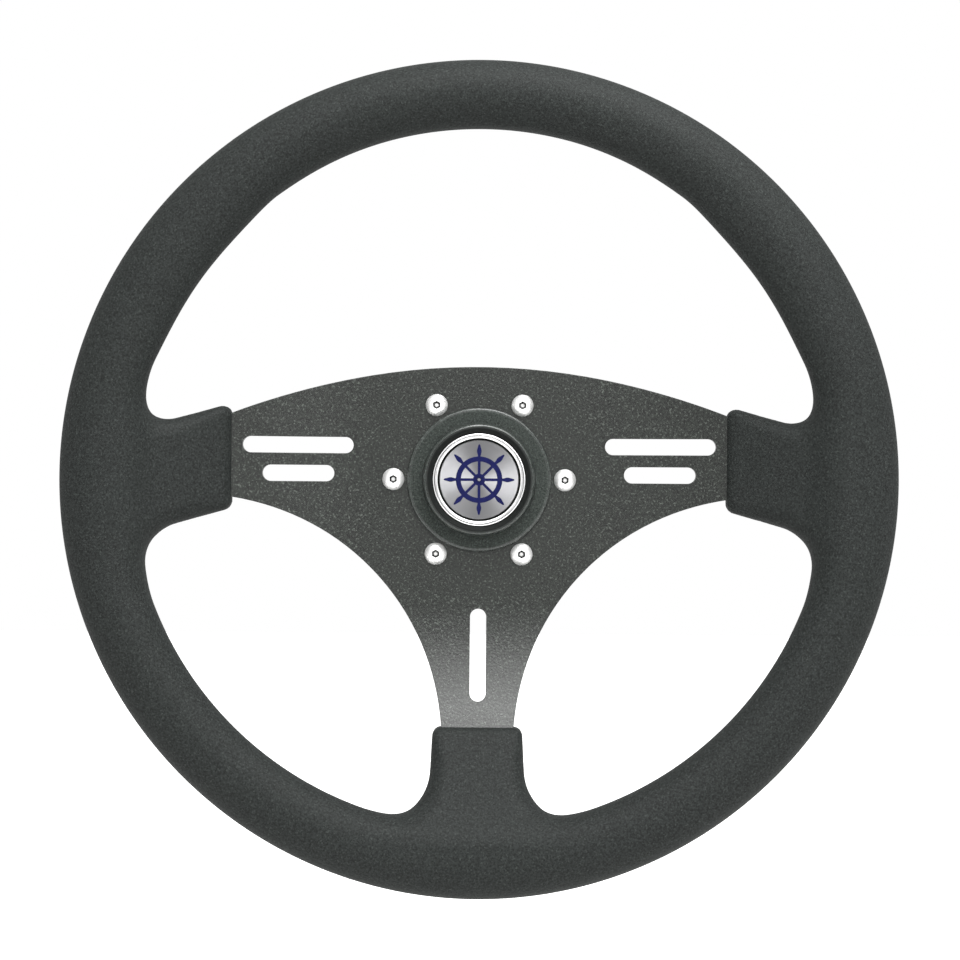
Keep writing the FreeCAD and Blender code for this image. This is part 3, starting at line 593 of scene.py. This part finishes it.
# Emblem: a ship's helm wheel with eight handles, a plain nautical figure, inlaid in the disc in
# navy enamel. Each eighth of it is the same strip of faces, turned about the middle.
disc_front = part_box("emblem_disc")[0].y
HANDLES = 8
ENAMEL_HIGH = 0.00012
ENAMEL_ROUND = 0.00005
HELM_BORE = 0.0007
HELM_BOSS = 0.0026
FELLOE_INSIDE = 0.0078
FELLOE_OUTSIDE = 0.0100
HELM_TIP = 0.0152
SPOKE_HALF = 0.00058
HANDLE_SWELL = 0.00042
HANDLE_STEPS = 14
SIDE_STEPS = 3
SAME_POINT = 1e-6
# A handle's swell is over a little before its tip, which is squared by one value and blunted by
# the other.
SWELL_PACE = 1.15
TIP_SQUARENESS = 8
TIP_BLUNTNESS = 0.02


def handle_half(reach):
    """Half the width of a spoke or handle: slim, then swelling and rounding off at its tip."""
    share = (reach - FELLOE_OUTSIDE) / (HELM_TIP - FELLOE_OUTSIDE)
    if share <= 0:
        return SPOKE_HALF
    swell = SPOKE_HALF + HANDLE_SWELL * math.sin(math.pi * min(share * SWELL_PACE, 1)) ** 2
    return swell * math.sqrt(max(1 - share ** TIP_SQUARENESS, TIP_BLUNTNESS))


def helm_row(shell, reach, start):
    """A row of points across an eighth of the figure. Those in the middle mark the spoke."""
    edge = math.asin(handle_half(reach) / reach)
    end = math.pi / HANDLES
    beside = [edge + (end - edge) * step / SIDE_STEPS for step in range(SIDE_STEPS + 1)]
    turns = [-turn for turn in beside[::-1]] + [0] + beside
    return [shell.verts.new((reach * math.sin(start + turn), 0, reach * math.cos(start + turn)))
            for turn in turns]


reaches = [HELM_BORE, HELM_BOSS, FELLOE_INSIDE, FELLOE_OUTSIDE]
reaches += [FELLOE_OUTSIDE + (HELM_TIP - FELLOE_OUTSIDE) * step / HANDLE_STEPS
            for step in range(1, HANDLE_STEPS + 1)]
shell = bmesh.new()
for number in range(HANDLES):
    rows = [helm_row(shell, reach, 2 * math.pi * number / HANDLES) for reach in reaches]
    for inner, row, after in zip(reaches, rows, rows[1:]):
        # The boss and the felloe fill the whole eighth, and the rest is the spoke or handle
        whole = inner in (HELM_BORE, FELLOE_INSIDE)
        steps = range(len(row) - 1) if whole else (SIDE_STEPS, SIDE_STEPS + 1)
        for step in steps:
            shell.faces.new((row[step], row[step + 1], after[step + 1], after[step]))
loose = [vert for vert in shell.verts if not vert.link_faces]
bmesh.ops.delete(shell, geom=loose, context="VERTS")
bmesh.ops.remove_doubles(shell, verts=shell.verts, dist=SAME_POINT)
helm_mesh = bpy.data.meshes.new("emblem_helm")
shell.to_mesh(helm_mesh)
shell.free()
helm = add_object("emblem_helm", helm_mesh)
helm.location = (0, disc_front, 0)
raised = helm.modifiers.new("raised_enamel", "SOLIDIFY")
raised.thickness = 2 * ENAMEL_HIGH
raised.offset = 0
rounded = helm.modifiers.new("rounded_edge", "BEVEL")
rounded.width = ENAMEL_ROUND
rounded.segments = 2

ENAMEL_RIPPLE = 0.0014
ENAMEL_RIPPLE_DEEP = 0.000006


def navy_enamel():
    """Fired enamel in navy blue: glossy, slightly domed and uneven."""
    material = new_material("navy_enamel")
    place = add_node(material, "ShaderNodeTexCoord", {}).outputs["Object"]
    ripple = add_node(material, "ShaderNodeTexNoise", {
        "Vector": place, "Scale": 1 / ENAMEL_RIPPLE})
    colour = add_node(material, "ShaderNodeMix", {
        "Factor_Float": ripple, "A_Color": linear("#0c0f33"), "B_Color": linear("#161a48")},
        data_type="RGBA")
    skin = add_node(material, "ShaderNodeBump", {
        "Height": ripple, "Distance": ENAMEL_RIPPLE_DEEP})
    return finish(material, {"Base Color": colour, "Roughness": 0.16, "Normal": skin})


dress(helm, navy_enamel())
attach(helm, "cap")

# Floor and studio: the wheel is held by its shaft well above a plain white floor, between two
# bright side walls, with a soft lamp high in front and another overhead. The room looks white
# all round, but for the camera's stand, a darker strip that only reflections show.
FLOOR_DROP = 0.32
FLOOR_HALF = 4.0
FLOOR_LIFT = 0.75
SIDE_LIGHT = 2.1
STAND_LIGHT = 0.10
MIRRORED_LIGHT = 0.92
# A way into the room has length 1. The side walls begin to shine and reach their full light at
# these values of its X, and the stand ends over these ranges of its X, its Z and its Y.
WALL_START = 0.2
WALL_FULL = 0.9
STAND_ASIDE = (0.07, 0.24)
STAND_ABOVE = (0.34, 0.60)
STAND_BEHIND = (-0.3, 0.2)


def white_floor():
    """A matt white floor that looks as white as the room behind it, and keeps its shadows."""
    material = new_material("white_floor")
    rays = add_node(material, "ShaderNodeLightPath", {})
    lift = add_node(material, "ShaderNodeMath", {
        "Value": rays.outputs["Is Camera Ray"], "Value_001": FLOOR_LIFT}, operation="MULTIPLY")
    return finish(material, {
        "Base Color": linear("#f4f4f3"), "Roughness": 0.9, "Specular IOR Level": 0.0,
        "Emission Color": linear("#ffffff"), "Emission Strength": lift})


floor_corners = [(across * FLOOR_HALF, back * FLOOR_HALF, -FLOOR_DROP)
                 for across, back in ((-1, -1), (1, -1), (1, 1), (-1, 1))]
floor_mesh = bpy.data.meshes.new("floor")
floor_mesh.from_pydata(floor_corners, [], [(0, 1, 2, 3)])
floor_mesh.materials.append(white_floor())
floor = add_object("floor", floor_mesh)

room = bpy.data.worlds.new("white_room")
room.use_nodes = True
room.node_tree.nodes.clear()
bpy.context.scene.world = room
rays = add_node(room, "ShaderNodeLightPath", {})
place = add_node(room, "ShaderNodeTexCoord", {}).outputs["Generated"]
way = add_node(room, "ShaderNodeSeparateXYZ", {"Vector": place})
off_middle = add_node(room, "ShaderNodeMath", {"Value": way.outputs["X"]}, operation="ABSOLUTE")
clear = 0.0
for value, (near, far) in ((off_middle, STAND_ASIDE), (way.outputs["Z"], STAND_ABOVE),
                           (way.outputs["Y"], STAND_BEHIND)):
    past = add_node(room, "ShaderNodeMapRange", {
        "Value": value, "From Min": near, "From Max": far})
    clear = add_node(room, "ShaderNodeMath", {
        "Value": clear, "Value_001": past}, operation="MAXIMUM")
mirrored = add_node(room, "ShaderNodeMapRange", {
    "Value": clear, "To Min": STAND_LIGHT, "To Max": MIRRORED_LIGHT})
cast = add_node(room, "ShaderNodeMapRange", {
    "Value": off_middle, "From Min": WALL_START, "From Max": WALL_FULL, "To Max": SIDE_LIGHT})
given = add_node(room, "ShaderNodeMix", {
    "Factor_Float": rays.outputs["Is Glossy Ray"], "A_Float": cast, "B_Float": mirrored})
seen = add_node(room, "ShaderNodeMath", {
    "Value": rays.outputs["Is Camera Ray"], "Value_001": rays.outputs["Is Transmission Ray"]},
    operation="MAXIMUM")
level = add_node(room, "ShaderNodeMath", {
    "Value": given, "Value_001": seen}, operation="MAXIMUM")
walls = add_node(room, "ShaderNodeBackground", {
    "Color": linear("#ffffff"), "Strength": level})
add_node(room, "ShaderNodeOutputWorld", {"Surface": walls})


def aim(thing, place, target):
    """Sets an object down at a place, with its -Z pointing at a target and its Y upwards."""
    turn = (target - place).to_track_quat("-Z", "Y")
    thing.matrix_world = Matrix.Translation(place) @ turn.to_matrix().to_4x4()


def soft_lamp(name, place, wide, high, watts):
    """A softbox that faces the wheel."""
    lamp = bpy.data.lights.new(name, "AREA")
    lamp.shape = "RECTANGLE"
    lamp.size = wide
    lamp.size_y = high
    lamp.energy = watts
    aim(add_object(name, lamp), Vector(place), Vector((0, rim_plane, 0)))


soft_lamp("high_front_lamp", (0.22, -1.15, 0.92), wide=1.3, high=1.1, watts=24)
soft_lamp("overhead_lamp", (0.30, -0.58, 1.32), wide=1.2, high=0.6, watts=30)

# Camera: straight in front, level with the shaft, and turned a touch about its own axis. Its
# place comes from where the rim's middle lies in the picture.
VIEW_DISTANCE = 1.030
PICTURE = 960
PIXELS_PER_METRE = 2396.8
RIM_MIDDLE_X = 479.06
RIM_MIDDLE_Y = 479.67
PICTURE_ROLL = 0.42
camera = bpy.data.cameras.new("camera")
camera.angle = 2 * math.atan(PICTURE / 2 / (PIXELS_PER_METRE * VIEW_DISTANCE))
camera.clip_start = 0.05
view = add_object("camera", camera)
aside = (PICTURE / 2 - RIM_MIDDLE_X) / PIXELS_PER_METRE
above = (RIM_MIDDLE_Y - PICTURE / 2) / PIXELS_PER_METRE
spot = Vector((aside, rim_plane - VIEW_DISTANCE, above))
aim(view, spot, spot + Vector((0, 1, 0)))
view.matrix_world = view.matrix_world @ Matrix.Rotation(math.radians(PICTURE_ROLL), 4, "Z")
bpy.context.scene.camera = view
bpy.context.scene.view_settings.view_transform = "Standard"
